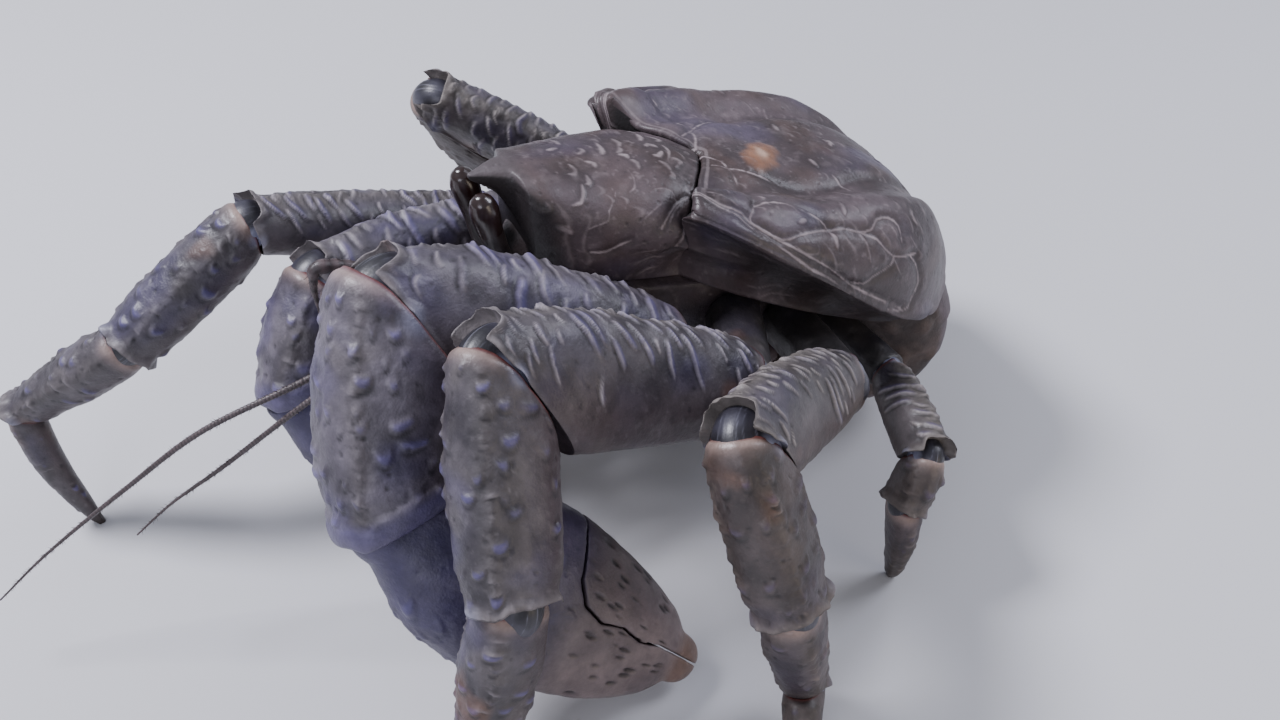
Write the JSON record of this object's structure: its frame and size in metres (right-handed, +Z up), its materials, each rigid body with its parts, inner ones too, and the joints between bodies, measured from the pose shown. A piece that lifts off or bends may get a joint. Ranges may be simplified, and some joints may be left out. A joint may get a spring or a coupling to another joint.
{
  "type": "coconut crab",
  "caption": "Still, life-size coconut crab (Birgus latro) standing on its walking legs, pincers hanging in front, abdomen curled under the carapace, for display.",
  "frame": {"origin": "on the floor under the middle of the crab's footprint, feelers included", "axes": "+Z up, head towards -Y, the crab's left side towards +X"},
  "size_m": [0.2942, 0.3536, 0.1532],
  "materials": {
    "carapace_shell": "brown-grey shell with a purplish cast and thin cream lines, moderate gloss",
    "limb_shell": "blue-violet grey shell with pale ridge edges, moderate gloss",
    "rear_limb_shell": "grey-brown shell with pale ridge edges, moderate gloss",
    "soft_body": "leathery dark brown skin with plates, low gloss",
    "eye": "nearly black, glossy",
    "feeler": "dark brown, finely ringed"
  },
  "bodies": {
    "root": {"carapace_shield": "carapace_shell", "carapace_back": "carapace_shell", "thorax": "soft_body", "abdomen": "soft_body", "telson": "carapace_shell", "eye_left": "eye", "antennule_left": "feeler", "antenna_left": "feeler", "maxilliped_left": "soft_body", "eye_right": "eye", "antennule_right": "feeler", "antenna_right": "feeler", "maxilliped_right": "soft_body", "claw_left_base": "limb_shell", "claw_left_merus": "limb_shell", "claw_left_carpus": "limb_shell", "claw_left_palm": "limb_shell", "claw_left_dactyl": "limb_shell", "claw_right_base": "limb_shell", "claw_right_merus": "limb_shell", "claw_right_carpus": "limb_shell", "claw_right_palm": "limb_shell", "claw_right_dactyl": "limb_shell", "leg2_left_base": "limb_shell", "leg2_left_merus": "limb_shell", "leg2_left_carpus": "limb_shell", "leg2_left_propodus": "limb_shell", "leg2_left_dactyl": "limb_shell", "leg2_right_base": "limb_shell", "leg2_right_merus": "limb_shell", "leg2_right_carpus": "limb_shell", "leg2_right_propodus": "limb_shell", "leg2_right_dactyl": "limb_shell", "leg3_left_base": "rear_limb_shell", "leg3_left_merus": "rear_limb_shell", "leg3_left_carpus": "rear_limb_shell", "leg3_left_propodus": "rear_limb_shell", "leg3_left_dactyl": "rear_limb_shell", "leg3_right_base": "rear_limb_shell", "leg3_right_merus": "rear_limb_shell", "leg3_right_carpus": "rear_limb_shell", "leg3_right_propodus": "rear_limb_shell", "leg3_right_dactyl": "rear_limb_shell", "leg4_left_base": "rear_limb_shell", "leg4_left_merus": "rear_limb_shell", "leg4_left_carpus": "rear_limb_shell", "leg4_left_dactyl": "rear_limb_shell", "leg4_right_base": "rear_limb_shell", "leg4_right_merus": "rear_limb_shell", "leg4_right_carpus": "rear_limb_shell", "leg4_right_dactyl": "rear_limb_shell"}
  },
  "joints": []
}
